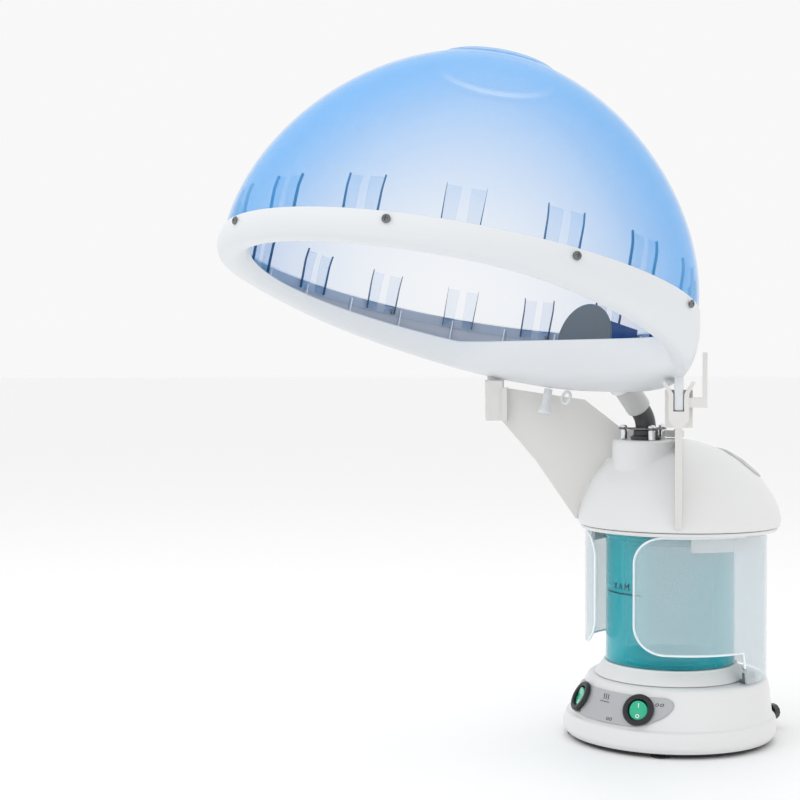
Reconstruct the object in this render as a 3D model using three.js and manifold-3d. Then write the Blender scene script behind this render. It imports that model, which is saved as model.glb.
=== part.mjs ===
// Two-in-one face and hair steamer: a round base with a water tank, a steam head that
// lifts off the tank, and a clear hair hood that stands in two forks on the head.
// Millimetres, +Z up. The switch panel and the hood face -Y.
import * as THREE from 'three';
import { mergeVertices } from 'three/addons/utils/BufferGeometryUtils.js';
import Module from 'manifold-3d';

const wasm = await Module();
wasm.setup();

// ---------------------------------------------------------------- driving dimensions

const GAP = 0.3;                 // clearance between neighbouring pieces

// Base casing as rings of [radius, height, centre y]: the front face leans back.
const CASING_OUTER = [
  [92, 4.5, -12], [94.8, 9, -12], [94.6, 15, -11.5], [93.4, 20.5, -10.6],
  [89.5, 22.8, -9.6], [86.5, 34, -6.5], [83, 46, -3.2], [80.8, 52.5, -1.8],
  [77.5, 55.5, -1.5], [30, 56, -1.5],
];
const CASING_INNER = [
  [30, 53, -1.5], [75.5, 52.8, -1.6], [80, 45, -3.4], [83.5, 34, -6.6],
  [90.6, 19, -11], [91.5, 9, -12], [90, 4.5, -12],
];
const PLATE_RADIUS = 90;
const PLATE_Z = [2, 4.2];
const FOOT_RADIUS = 8.5;
const FOOT_SPOTS = [[-52, -76], [52, -76], [-50, 52], [50, 52]];

const SWITCH_AZIMUTH = 24;       // degrees each side of the front
const SWITCH_Z = 37;
const FACE_RADIUS = 85.6;        // casing radius and centre at the switches' height
const FACE_CENTRE_Y = -5.7;
const FACE_SLOPE = 28.5;
const ROCKER_TILT = 9;           // each way from level

const TANK_Y = -10.5;
const TANK_RADIUS = 57.5;
const TANK_WALL = 2.5;
const TANK_Z = [69, 185];
const LEVEL_Z = 132;

const GUARD_Y = -4;
const GUARD_RADIUS = 81;
const GUARD_WALL = 2;
const GUARD_Z = [57.2, 185.8];
const GUARD_WING_Z = 85;         // lower edge of the two front wings
const GUARD_HALF_GAP = 24.5;
const GUARD_CORNER = 22;

const HEAD_RING_RADIUS = 88;
const HEAD_RING_Z = [186.7, 190.2];

// Head cover as rings of [radius, height, centre y].
const COVER_OUTER = [
  [90, 190.5, 0], [90.5, 198, 0], [87.4, 210.4, -0.3], [82, 221.5, -1.2],
  [74.8, 233, -2.5], [60, 248, -5.5], [47, 256.5, -7], [33, 262.5, -8.5],
  [17, 267.3, -9.5], [0, 269, -10],
];
const COVER_WALL = 3;
const BOSS_Y = -42;
const BOSS_RADIUS = 29.5;
const BOSS_TOP = 268;

const PIPE_RADIUS = 9;
const PIPE_BORE = 6.6;
const PIPE_LEAN = 42;            // degrees from upright, leaning to the front
const PIPE_BEND_Z = 278.4;
const PIPE_BEND_RADIUS = 22;
const SLEEVE_RADIUS = 11;
const SLEEVE_SPAN = [4, 30.6];   // along the leaning pipe, from the end of the bend
const SOCKET_RADIUS = 13.5;
const SOCKET_SPAN = [31, 56];
const FLANGE_Z = [277.2, 278.8];
const POST_RADIUS = 20;          // pitch radius of the three posts round the outlet
const POST_ANGLES = [90, 210, 330];

const WING_AZIMUTH = 43.5;       // degrees each side of the front
const WING_THICKNESS = 6;
const WING_OUTLINE = [
  [86, 194.5], [92.6, 194.5], [128.7, 247], [160, 283.5], [160, 314],
  [84.6, 303], [50, 276], [22, 276], [22, 262], [60, 225],
];
const BRIDGE = { width: 27, depth: 8, y: -11.5, z: [269.8, 275.8] };
const BRIDGE_SCREW_X = [-8.5, 8.5];
const FORK_SPAN = [160, 175];    // distance of the fork from the axis

const HOOD_Y = -254;
const HOOD_Z = 404;
const HOOD_TILT = 13.1;
const RING_RADIUS = 193.5;
const RING_WALL = 2.5;
const RING_STEPS = 40;
const CHORD_Y = 110;             // the straight back edge of the opening
// Depth of the ring below the dome line, against degrees from the back.
const RING_DEPTH = [
  [0, 52], [16, 53], [30, 51], [47, 47], [60, 42], [75, 37], [90, 32],
  [105, 26.5], [120, 23.5], [180, 22],
];
// Depth of the inner lip below the dome line, against degrees from the back.
const LIP_DEPTH = [[0, 25], [45, 25], [70, 21], [100, 17], [140, 12], [180, 11]];
const LIP_INSET = 24;

const DOME_RADIUS = 191.8;
const DOME_HEIGHT = 184;
const DOME_WALL = 1.6;
const HOOD_SCREW_ANGLES = [25, 70, 115, 160, 210, 261, 306, 346];
const HOOD_SCREW_Z = -6;

// ------------------------------------------------------------------------- materials

const plastic = (color, roughness = 0.4) =>
  new THREE.MeshStandardMaterial({ color, roughness, metalness: 0 });
const clear = (color, opacity) =>
  new THREE.MeshStandardMaterial({ color, roughness: 0.12, metalness: 0, transparent: true, opacity });
const metal = (color, roughness = 0.25) =>
  new THREE.MeshStandardMaterial({ color, roughness, metalness: 1 });

const white = plastic(0xf2f2f0);
const cream = plastic(0xeeeae0, 0.45);
const black = plastic(0x17181a, 0.5);
const darkGrey = plastic(0x4b4c4e, 0.4);
const slate = plastic(0x68727a, 0.45);
const navy = plastic(0x3d6295, 0.3);
const silver = plastic(0xa9abad, 0.35);
const rubber = plastic(0x222222, 0.8);
const boardGreen = plastic(0x1f6b43, 0.5);
const chrome = metal(0xd5d7da, 0.12);
const steel = metal(0xa7aaad, 0.35);
const aluminium = metal(0xb9bcc0, 0.45);
const iron = metal(0x55585c, 0.6);
const green = clear(0x14996b, 0.85);
const teal = clear(0x35cdd0, 0.6);
const frosted = clear(0xe3f1f5, 0.4);
const greyClear = clear(0xc3bfc2, 0.7);
const sleeveGrey = clear(0xc7c8c8, 0.8);
const blueClear = clear(0x8ecff5, 0.35);

// --------------------------------------------------------------------------- helpers

const rad = THREE.MathUtils.degToRad;

/** Position-only indexed geometry with shared corners merged and slivers dropped. */
function welded(geometry) {
  const bare = new THREE.BufferGeometry();
  bare.setAttribute('position', geometry.getAttribute('position').clone());
  if (geometry.index) bare.setIndex(geometry.index.clone());
  const merged = mergeVertices(bare, 1e-4);
  const corners = merged.index.array;
  const kept = [];
  for (let i = 0; i < corners.length; i += 3) {
    const [a, b, c] = [corners[i], corners[i + 1], corners[i + 2]];
    if (a !== b && b !== c && a !== c) kept.push(a, b, c);
  }
  merged.setIndex(kept);
  return merged;
}

/** Six times the signed volume, which is negative when the faces point inwards. */
function signedVolume(geometry) {
  const p = geometry.getAttribute('position');
  const corners = geometry.index.array;
  const [a, b, c] = [new THREE.Vector3(), new THREE.Vector3(), new THREE.Vector3()];
  let sum = 0;
  for (let i = 0; i < corners.length; i += 3) {
    a.fromBufferAttribute(p, corners[i]);
    b.fromBufferAttribute(p, corners[i + 1]);
    c.fromBufferAttribute(p, corners[i + 2]);
    sum += a.dot(b.cross(c));
  }
  return sum;
}

/** A solid for joining and cutting, with its faces pointing out. */
function solid(geometry) {
  const closed = welded(geometry);
  const corners = Array.from(closed.index.array);
  if (signedVolume(closed) < 0) {
    for (let i = 0; i < corners.length; i += 3) {
      [corners[i], corners[i + 1]] = [corners[i + 1], corners[i]];
    }
  }
  return new wasm.Manifold(new wasm.Mesh({
    numProp: 3,
    vertProperties: new Float32Array(closed.getAttribute('position').array),
    triVerts: new Uint32Array(corners),
  }));
}

const join = (...solids) => solids.reduce((all, next) => all.add(next));
const cut = (body, ...tools) => tools.reduce((left, tool) => left.subtract(tool), body);

function toGeometry(body) {
  const mesh = body.getMesh();
  const geometry = new THREE.BufferGeometry();
  const positions = new Float32Array(mesh.numVert * 3);
  for (let i = 0; i < mesh.numVert; i += 1) {
    for (let k = 0; k < 3; k += 1) {
      positions[3 * i + k] = mesh.vertProperties[i * mesh.numProp + k];
    }
  }
  geometry.setAttribute('position', new THREE.BufferAttribute(positions, 3));
  geometry.setIndex(Array.from(mesh.triVerts));
  const flat = geometry.toNonIndexed();
  flat.computeVertexNormals();
  return flat;
}

function add(parent, name, body, material) {
  const mesh = new THREE.Mesh(toGeometry(body), material);
  mesh.name = name;
  parent.add(mesh);
  return mesh;
}

/** Revolves [radius, height] points about Z; a profile off the axis closes on itself. */
function revolve(profile, steps = 30, x = 0, y = 0) {
  const points = profile.map(([r, z]) => new THREE.Vector2(r, z));
  const onAxis = profile[0][0] === 0 && profile[profile.length - 1][0] === 0;
  if (!onAxis) points.push(points[0].clone());
  const geometry = new THREE.LatheGeometry(points, steps);
  geometry.rotateX(Math.PI / 2);
  geometry.translate(x, y, 0);
  return solid(geometry);
}

/** A closed skin over rings of points; the rings close on the first, or are capped. */
function loft(rings, closes) {
  const count = rings[0].length;
  const positions = rings.flat().flatMap((p) => [p.x, p.y, p.z]);
  const corners = [];
  const spans = closes ? rings.length : rings.length - 1;
  for (let k = 0; k < spans; k += 1) {
    const next = (k + 1) % rings.length;
    for (let i = 0; i < count; i += 1) {
      const j = (i + 1) % count;
      const [a, b, c, d] = [k * count + i, k * count + j, next * count + j, next * count + i];
      corners.push(a, b, c, a, c, d);
    }
  }
  if (!closes) {
    for (const [k, flip] of [[0, true], [rings.length - 1, false]]) {
      const hub = positions.length / 3;
      const centre = new THREE.Vector3();
      rings[k].forEach((p) => centre.addScaledVector(p, 1 / count));
      positions.push(centre.x, centre.y, centre.z);
      for (let i = 0; i < count; i += 1) {
        const j = (i + 1) % count;
        corners.push(hub, k * count + (flip ? j : i), k * count + (flip ? i : j));
      }
    }
  }
  const geometry = new THREE.BufferGeometry();
  geometry.setAttribute('position', new THREE.Float32BufferAttribute(positions, 3));
  geometry.setIndex(corners);
  return solid(geometry);
}

/** A level circle of points from [radius, height, centre y]. */
function circle([r, z, y], steps) {
  return Array.from({ length: steps }, (_, i) => {
    const w = (2 * Math.PI * i) / steps;
    return new THREE.Vector3(r * Math.cos(w), y + r * Math.sin(w), z);
  });
}

const stack = (rings, steps, closes) => loft(rings.map((ring) => circle(ring, steps)), closes);

/** Extrudes an outline of [x, y] points by a depth along Z. */
function prism(outline, depth, holes = []) {
  const shape = new THREE.Shape(outline.map(([x, y]) => new THREE.Vector2(x, y)));
  holes.forEach((hole) => shape.holes.push(new THREE.Path(hole.map(([x, y]) => new THREE.Vector2(x, y)))));
  return new THREE.ExtrudeGeometry(shape, { depth, bevelEnabled: false, curveSegments: 6 });
}

/** An outline drawn in X and Z, made into a slab from y to y + depth. */
function slabXZ(outline, y, depth) {
  const geometry = prism(outline, depth);
  geometry.rotateX(Math.PI / 2);
  geometry.translate(0, y + depth, 0);
  return solid(geometry);
}

function box(width, depth, height, x, y, z) {
  const geometry = new THREE.BoxGeometry(width, depth, height);
  geometry.translate(x, y, z + height / 2);
  return solid(geometry);
}

function rod(radius, z0, z1, x = 0, y = 0, steps = 16) {
  return revolve([[0, z0], [radius, z0], [radius, z1], [0, z1]], steps, x, y);
}

/** A round tube swept along points in the plane x = 0. */
function sweep(points, outer, inner, steps = 14) {
  const along = points.map((p, i) => {
    const before = points[Math.max(i - 1, 0)];
    const after = points[Math.min(i + 1, points.length - 1)];
    return after.clone().sub(before).normalize();
  });
  const ringAt = (i, radius) => Array.from({ length: steps }, (_, k) => {
    const w = (2 * Math.PI * k) / steps;
    const side = new THREE.Vector3(1, 0, 0);
    const up = new THREE.Vector3().crossVectors(along[i], side);
    return points[i].clone()
      .addScaledVector(side, radius * Math.cos(w))
      .addScaledVector(up, radius * Math.sin(w));
  });
  const out = points.map((_, i) => ringAt(i, outer));
  if (inner === 0) return loft(out, false);
  const back = points.map((_, i) => ringAt(i, inner)).reverse();
  return loft([...out, ...back], true);
}

/** Straight-line lookup in a table of [input, output] pairs. */
function lookUp(table, value) {
  for (let i = 1; i < table.length; i += 1) {
    const [x0, y0] = table[i - 1];
    const [x1, y1] = table[i];
    if (value <= x1) return y0 + ((y1 - y0) * (value - x0)) / (x1 - x0);
  }
  return table[table.length - 1][1];
}

const grown = (rings, by) => rings.map(([r, z, y]) => [Math.max(r + by, 0), z, y]);
const moved = (body, matrix) => body.transform(matrix.toArray());

const steamer = new THREE.Group();
const base = new THREE.Group();
const head = new THREE.Group();
const hood = new THREE.Group();
steamer.add(base, head);
head.add(hood);

// ------------------------------------------------------------------------------ base

/** The frame of a switch: local Z points out of the panel and local Y points up it. */
function switchFrame(azimuth) {
  const a = rad(azimuth);
  const s = rad(FACE_SLOPE);
  const out = new THREE.Vector3(Math.sin(a) * Math.cos(s), -Math.cos(a) * Math.cos(s), Math.sin(s));
  const across = new THREE.Vector3(Math.cos(a), Math.sin(a), 0);
  const up = new THREE.Vector3().crossVectors(out, across);
  const at = new THREE.Vector3(
    FACE_RADIUS * Math.sin(a), FACE_CENTRE_Y - FACE_RADIUS * Math.cos(a), SWITCH_Z);
  return new THREE.Matrix4().makeBasis(across, up, out).setPosition(at);
}
const switchFrames = { steam: switchFrame(-SWITCH_AZIMUTH), ozone: switchFrame(SWITCH_AZIMUTH) };
const switchHoles = Object.values(switchFrames).map((frame) => moved(rod(11, -16, 12, 0, 0, 14), frame));

const GLAND_X = 34;
const glandFrame = new THREE.Matrix4().makeRotationX(-Math.PI / 2).setPosition(GLAND_X, 0, 14);
const casing = cut(
  stack([...CASING_OUTER, ...CASING_INNER], 32, true),
  ...switchHoles,
  moved(rod(6.4, 60, 100, 0, 0, 14), glandFrame));
add(base, 'base_casing', casing, white);
add(base, 'base_plate', rod(PLATE_RADIUS, ...PLATE_Z, 0, -12, 40), black);
FOOT_SPOTS.forEach(([x, y], i) => {
  const foot = revolve([[0, 0], [FOOT_RADIUS - 1, 0], [FOOT_RADIUS, 0.8], [FOOT_RADIUS, 1.7], [0, 1.7]], 14, x, y);
  add(base, `rubber_foot_${i + 1}`, foot, rubber);
});
add(base, 'cord_gland', moved(revolve([
  [3.4, 74], [6.1, 74], [6.1, 84], [8.5, 84], [7.2, 92], [3.4, 92],
], 12), glandFrame), black);

// The label lies just above the slanted front of the casing, between two outlines.
const labelRings = CASING_OUTER.filter(([, z]) => z > 30 && z < 50);
const labelAt = (z, by) => {
  const [[r0, z0, y0], [r1, z1, y1]] = labelRings;
  const t = (z - z0) / (z1 - z0);
  return [r0 + (r1 - r0) * t + by, z, y0 + (y1 - y0) * t];
};
const labelShell = stack([
  labelAt(24, 0.9), labelAt(49, 0.9), labelAt(49, 1.8), labelAt(24, 1.8)], 48, true);
const LABEL_OUTLINE = [
  [52, 48.4], [57, 45.5], [58.6, 40.5], [56, 34], [46, 26.8], [38, 24.4],
];
const labelOutline = [
  ...LABEL_OUTLINE, ...LABEL_OUTLINE.map(([x, z]) => [-x, z]).reverse()];
const label = cut(labelShell.intersect(slabXZ(labelOutline, -110, 70)), ...switchHoles);
add(base, 'control_label', label, silver);

for (const [name, frame] of Object.entries(switchFrames)) {
  const bezel = revolve([
    [9.2, -12], [10.6, -12], [10.6, 2.3], [14, 2.3], [14, 3.9], [12.7, 5.4], [10.2, 5.4], [9.2, 4.6],
  ], 18);
  add(base, `${name}_bezel`, moved(bezel, frame), black);
  const body = join(
    rod(10.4, -22, -12.3, 0, 0, 16),
    box(1, 6, 9, -4, 0, -30.5),
    box(1, 6, 9, 4, 0, -30.5));
  add(base, `${name}_switch_body`, moved(body, frame), black);
  const profile = prism([[-9, -4], [9, -4], [9, 4.4], [0, 2.8], [-9, 4.4]], 20);
  profile.rotateX(Math.PI / 2);
  profile.translate(0, 10, 0);
  profile.rotateZ(Math.PI / 2);
  const rocker = rod(8.2, -4, 4.6, 0, 0, 18).intersect(solid(profile));
  const tilt = new THREE.Matrix4().makeRotationX(rad(ROCKER_TILT));
  add(base, `${name}_rocker`, moved(rocker, frame.clone().multiply(tilt)), green);
}

// Working parts inside the casing.
const core = join(box(58, 42, 32, 0, 43, 6), box(36, 52, 20, 0, 43, 12));
add(base, 'transformer', core, iron);
const board = join(
  box(70, 40, 1.8, 0, -22, 12),
  box(16, 12, 12, -22, -26, 13.8),
  box(10, 10, 16, 4, -18, 13.8),
  box(18, 8, 9, 22, -30, 13.8));
add(base, 'circuit_board', board, boardGreen);
add(base, 'thermostat', rod(8, 44, 56.2, 0, TANK_Y), silver);
add(base, 'heater_block', revolve([
  [0, 56.6], [44, 56.6], [44, 62], [38, 64], [38, 67.6], [0, 67.6]], 20, 0, TANK_Y), aluminium);
add(base, 'tank_collar', revolve([
  [64.5, 56.4], [67.4, 56.4], [66.8, 58], [59.6, 67], [59.2, 68.6], [52.5, 68.6], [52.5, 66.4], [56.5, 65.6],
], 28, 0, TANK_Y), white);

// Water tank: its metal floor plate sits in a hole over the heater.
add(base, 'heater_plate', revolve([
  [0, 68.2], [35.6, 68.2], [35.6, 72.4], [43, 72.4], [43, 74.2], [0, 74.2]], 20, 0, TANK_Y), steel);
const tankInner = TANK_RADIUS - TANK_WALL;
add(base, 'water_tank', revolve([
  [36, TANK_Z[0]], [TANK_RADIUS, TANK_Z[0]], [TANK_RADIUS, 180], [59, 182], [59, TANK_Z[1]],
  [tankInner, TANK_Z[1]], [tankInner, 72], [36, 72],
], 32, 0, TANK_Y), teal);
const markRing = revolve([
  [TANK_RADIUS + GAP, LEVEL_Z], [TANK_RADIUS + 0.7, LEVEL_Z],
  [TANK_RADIUS + 0.7, LEVEL_Z + 1.4], [TANK_RADIUS + GAP, LEVEL_Z + 1.4],
], 48, 0, TANK_Y);
add(base, 'level_mark', markRing.intersect(box(44, 60, 10, -8, TANK_Y - 40, LEVEL_Z - 4)), white);
add(base, 'tank_gasket', revolve([
  [tankInner, 185.3], [59, 185.3], [59, 186.4], [tankInner, 186.4]], 24, 0, TANK_Y), rubber);

// Guard: a clear wall round the tank, open at the front, standing on the casing behind.
const guardWall = revolve([
  [GUARD_RADIUS - GUARD_WALL, GUARD_Z[0]], [GUARD_RADIUS, GUARD_Z[0]],
  [GUARD_RADIUS, GUARD_Z[1]], [GUARD_RADIUS - GUARD_WALL, GUARD_Z[1]],
], 48, 0, GUARD_Y);
function wingWindow(side) {
  const shape = new THREE.Shape();
  const [x0, x1] = [GUARD_HALF_GAP, 95];
  const [z0, z1] = [GUARD_WING_Z, GUARD_Z[1] + 5];
  const top = GUARD_Z[1];
  shape.moveTo(side * x1, z0);
  shape.lineTo(side * (x0 + GUARD_CORNER), z0);
  shape.quadraticCurveTo(side * x0, z0, side * x0, z0 + GUARD_CORNER);
  shape.lineTo(side * x0, top - GUARD_CORNER);
  shape.quadraticCurveTo(side * x0, top, side * (x0 + GUARD_CORNER), top);
  shape.lineTo(side * (x0 + GUARD_CORNER), z1);
  shape.lineTo(side * x1, z1);
  const geometry = new THREE.ExtrudeGeometry(shape, { depth: 110, bevelEnabled: false, curveSegments: 5 });
  geometry.rotateX(Math.PI / 2);
  return solid(geometry);
}
const frontCut = cut(box(190, 100, 140, 0, GUARD_Y - 50, 50), wingWindow(1), wingWindow(-1));
add(base, 'tank_guard', cut(guardWall, frontCut), frosted);
for (const [name, side] of [['left', -1], ['right', 1]]) {
  const clip = join(box(6, 14, 3, side * 71.5, 12, 56.4), box(3, 14, 9, side * 73, 12, 56.4));
  add(base, `guard_clip_${name}`, clip, darkGrey);
}

// ------------------------------------------------------------------------------ head

const [RING_LOW, RING_HIGH] = HEAD_RING_Z;
const skirt = cut(
  revolve([[73.5, 173], [76.5, 173], [76.5, RING_LOW + 1], [73.5, RING_LOW + 1]], 32, 0, GUARD_Y),
  box(200, 100, 20, 0, -50 - 48, 170));
const headRing = join(
  cut(rod(HEAD_RING_RADIUS, RING_LOW, RING_HIGH, 0, 0, 32), rod(50, 180, 195, 0, TANK_Y, 28)),
  revolve([[50, 176], [53.8, 176], [53.8, RING_LOW + 1], [50, RING_LOW + 1]], 28, 0, TANK_Y),
  skirt);
add(head, 'head_ring', headRing, white);

const coverOuter = stack(COVER_OUTER, 36, false);
const coverInner = stack([
  [90 - COVER_WALL, 180, 0],
  ...COVER_OUTER.slice(0, -1).map(([r, z, y]) => [
    Math.max(r - COVER_WALL * 0.85, 4), z < 200 ? z : z - COVER_WALL * (1.15 - 0.7 * (r / 90)), y]),
], 24, false);
const boss = revolve([
  [0, 215], [BOSS_RADIUS, 215], [BOSS_RADIUS, BOSS_TOP - 1.5], [BOSS_RADIUS - 1.3, BOSS_TOP], [0, BOSS_TOP],
], 32, 0, BOSS_Y);
const cover = cut(
  join(coverOuter, boss),
  coverInner,
  rod(BOSS_RADIUS - COVER_WALL, 200, BOSS_TOP - COVER_WALL, 0, BOSS_Y, 24),
  rod(PIPE_RADIUS + 0.5, 240, 290, 0, BOSS_Y, 20),
  ...BRIDGE_SCREW_X.map((x) => rod(1.9, 255, 280, x, BRIDGE.y, 8)));
add(head, 'head_cover', cover, white);

// A translucent finger grip lies on the back of the cover.
const GRIP_HALF_ANGLE = 62;
const gripFan = [[0, -10]];
for (let k = 0; k <= 10; k += 1) {
  const w = 90 + GRIP_HALF_ANGLE * (k / 5 - 1);
  gripFan.push([130 * Math.cos(rad(w)), -10 + 130 * Math.sin(rad(w))]);
}
const gripSector = prism(gripFan, 27);
gripSector.translate(0, 0, 234);
const gripSkin = cut(
  stack(COVER_OUTER.map(([r, z, y]) => [r + 1.7, z + 1.6, y]), 36, false),
  stack(COVER_OUTER.map(([r, z, y]) => [r + 0.4, z + 0.3, y]), 36, false));
add(head, 'rear_grip', gripSkin.intersect(solid(gripSector)), greyClear);

// Steam outlet: collar, flange plate on three posts, bent pipe and sleeve.
add(head, 'outlet_collar', revolve([
  [9.4, 268.3], [13.2, 268.3], [13.2, 271], [10.8, 272.4], [10.8, 276.6], [9.4, 276.6],
], 20, 0, BOSS_Y), darkGrey);
const postAt = POST_ANGLES.map((w) => [POST_RADIUS * Math.cos(rad(w)), BOSS_Y + POST_RADIUS * Math.sin(rad(w))]);
const ears = postAt.map(([x, y]) => rod(4.4, ...FLANGE_Z, x, y, 14));
const webs = POST_ANGLES.map((w) => {
  const geometry = new THREE.BoxGeometry(POST_RADIUS, 7, FLANGE_Z[1] - FLANGE_Z[0]);
  geometry.translate(POST_RADIUS / 2, 0, (FLANGE_Z[0] + FLANGE_Z[1]) / 2);
  geometry.rotateZ(rad(w));
  geometry.translate(0, BOSS_Y, 0);
  return solid(geometry);
});
const flange = cut(
  join(rod(14.5, ...FLANGE_Z, 0, BOSS_Y, 24), ...ears, ...webs),
  rod(PIPE_RADIUS + 0.5, 270, 285, 0, BOSS_Y, 20),
  ...postAt.map(([x, y]) => rod(1.8, 270, 285, x, y, 10)));
add(head, 'flange_plate', flange, steel);
postAt.forEach(([x, y], i) => {
  add(head, `outlet_post_${i + 1}`, revolve([
    [1.8, 268.3], [3.1, 268.3], [3.1, 276.9], [1.8, 276.9]], 12, x, y), chrome);
  add(head, `outlet_screw_${i + 1}`, revolve([
    [0, 269], [1.5, 269], [1.5, 279.1], [3.3, 279.1], [3.3, 280.4], [2, 281.8], [0, 282]], 12, x, y), chrome);
});

const lean = rad(PIPE_LEAN);
const bendEnd = new THREE.Vector3(
  0, BOSS_Y - PIPE_BEND_RADIUS * (1 - Math.cos(lean)), PIPE_BEND_Z + PIPE_BEND_RADIUS * Math.sin(lean));
const pipeWay = new THREE.Vector3(0, -Math.sin(lean), Math.cos(lean));
const alongPipe = (t) => bendEnd.clone().addScaledVector(pipeWay, t);
const elbowPath = [new THREE.Vector3(0, BOSS_Y, 258), new THREE.Vector3(0, BOSS_Y, PIPE_BEND_Z)];
for (let k = 1; k < 6; k += 1) {
  const w = (lean * k) / 6;
  elbowPath.push(new THREE.Vector3(
    0, BOSS_Y - PIPE_BEND_RADIUS * (1 - Math.cos(w)), PIPE_BEND_Z + PIPE_BEND_RADIUS * Math.sin(w)));
}
elbowPath.push(alongPipe(0), alongPipe(16));
add(head, 'steam_elbow', sweep(elbowPath, PIPE_RADIUS, PIPE_BORE), darkGrey);
add(head, 'steam_sleeve', sweep(
  SLEEVE_SPAN.map(alongPipe), SLEEVE_RADIUS, PIPE_RADIUS + 0.4), sleeveGrey);

// ------------------------------------------------------------------------------ hood

const hoodMatrix = new THREE.Matrix4()
  .makeRotationX(-rad(HOOD_TILT))
  .setPosition(0, HOOD_Y, HOOD_Z);
const intoHood = hoodMatrix.clone().invert();

/** Section of the ring at an angle: outer wall, rounded bottom, rising to the inner lip. */
function ringSection(fromBack) {
  const d = lookUp(RING_DEPTH, fromBack);
  const lip = lookUp(LIP_DEPTH, fromBack);
  const straight = CHORD_Y / Math.max(Math.cos(rad(fromBack)), 0.1);
  const rim = Math.min(RING_RADIUS - LIP_INSET, straight);
  const width = RING_RADIUS - 7 - rim;
  const outer = [
    [RING_RADIUS, 0], [RING_RADIUS + 2.3, -0.3 * d], [RING_RADIUS + 2.3, -0.62 * d],
    [RING_RADIUS - 1.2, -0.9 * d], [RING_RADIUS - 7.5, -d],
    [rim + width * 0.5, -d + 0.1 * (d - lip)], [rim + width * 0.16, -lip - 0.45 * (d - lip)],
    [rim, -lip],
  ];
  const inner = [
    [rim + 2, -lip + 0.6], [rim + width * 0.16 + 2.2, -lip - 0.45 * (d - lip) + 2.2],
    [rim + width * 0.5 + 1, -d + 0.1 * (d - lip) + 2.6], [RING_RADIUS - 8.6, -d + 2.7],
    [RING_RADIUS - 3.4, -0.9 * d + 1.2], [RING_RADIUS - 0.4, -0.6 * d],
    [RING_RADIUS - RING_WALL, -10], [RING_RADIUS - RING_WALL, 0],
  ];
  return { outer, inner };
}
function ringColumns(pick, grow = 0) {
  return Array.from({ length: RING_STEPS }, (_, i) => {
    const w = (360 * i) / RING_STEPS;
    const fromBack = Math.min(Math.abs(w - 90), 360 - Math.abs(w - 90));
    return pick(ringSection(fromBack)).map(([r, z]) => new THREE.Vector3(
      (r + grow) * Math.cos(rad(w)), (r + grow) * Math.sin(rad(w)), z - grow));
  });
}
function ringSolid() {
  const columns = ringColumns(({ outer, inner }) => [...outer, ...inner]);
  const rings = columns[0].map((_, k) => columns.map((column) => column[k]));
  return loft(rings, true);
}
/** The ring's outer shape, filled and a little larger, for cutting clearance. */
function ringEnvelope(grow) {
  const columns = ringColumns(({ outer }) => outer.slice(0, 6), grow);
  const rings = columns[0].map((_, k) => columns.map((column) => column[k]));
  return moved(loft(rings, false), hoodMatrix);
}

const forkMatrix = (azimuth) => new THREE.Matrix4().makeBasis(
  new THREE.Vector3(Math.cos(rad(azimuth)), Math.sin(rad(azimuth)), 0),
  new THREE.Vector3(-Math.sin(rad(azimuth)), Math.cos(rad(azimuth)), 0),
  new THREE.Vector3(0, 0, 1));

// In a fork's own frame, Y points at the axis and X runs across the wing.
function lug(azimuth) {
  const middle = (FORK_SPAN[0] + FORK_SPAN[1]) / 2;
  return moved(box(7.2, 12, 34, 0, -middle, 297.6), forkMatrix(azimuth));
}
const ringBore = moved(sweep(
  [alongPipe(SOCKET_SPAN[0] - 3), alongPipe(SOCKET_SPAN[1] + 12)], PIPE_RADIUS, 0), intoHood);
const socket = moved(sweep(SOCKET_SPAN.map(alongPipe), SOCKET_RADIUS, 0), intoHood);
const screwFrame = (w) => new THREE.Matrix4()
  .makeRotationZ(rad(w))
  .multiply(new THREE.Matrix4().makeRotationY(Math.PI / 2))
  .setPosition(0, 0, HOOD_SCREW_Z);
const screwHoles = HOOD_SCREW_ANGLES.map((w) => moved(rod(1.9, 180, 205, 0, 0, 8), screwFrame(w)));
const spoutSpot = new THREE.Vector3(-66, 172, 0);
const spoutHole = rod(2.4, -70, -30, spoutSpot.x, spoutSpot.y, 10);

// The lugs stop inside the ring's floor, so they are cut by the space above it.
const innerSpaceColumns = ringColumns(({ inner }) => inner.slice(2));
const innerSpace = loft(
  innerSpaceColumns[0].map((_, k) => innerSpaceColumns.map((column) => column[k])), false);
const lugs = [WING_AZIMUTH, -WING_AZIMUTH].map((a) => cut(moved(lug(a), intoHood), innerSpace));
add(hood, 'hood_ring', cut(join(ringSolid(), socket, ...lugs), ringBore, spoutHole, ...screwHoles), white);

// Clear dome with a raised disc on its crown and a skirt inside the ring.
const domeAt = (z) => [
  DOME_RADIUS * (1 - (z / DOME_HEIGHT) ** 1.75) ** (1 / 1.8), z];
const domeOuter = [
  [DOME_RADIUS - 1.4, -9], [DOME_RADIUS - 1.4, 0.4], [DOME_RADIUS, 0.5],
  ...[24, 60, 100, 132, 156].map(domeAt), [53, 172.4], [51.5, 176.4], [30, 182.4], [0, 186.4],
];
const domeInner = [
  [0, 186.4 - DOME_WALL], [29.6, 182.4 - DOME_WALL], [50.6, 176.2 - DOME_WALL],
  ...[156, 132, 100, 60, 24].map((z) => {
    const [r] = domeAt(z);
    const [up] = domeAt(z + 1);
    const slope = Math.atan2(r - up, 1);
    return [r - DOME_WALL * Math.cos(slope), z - DOME_WALL * Math.sin(slope)];
  }),
  [DOME_RADIUS - 1.4 - 1.8, 0.4], [DOME_RADIUS - 1.4 - 1.8, -9],
];
const domeProfile = [...domeInner, ...domeOuter];
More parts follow.
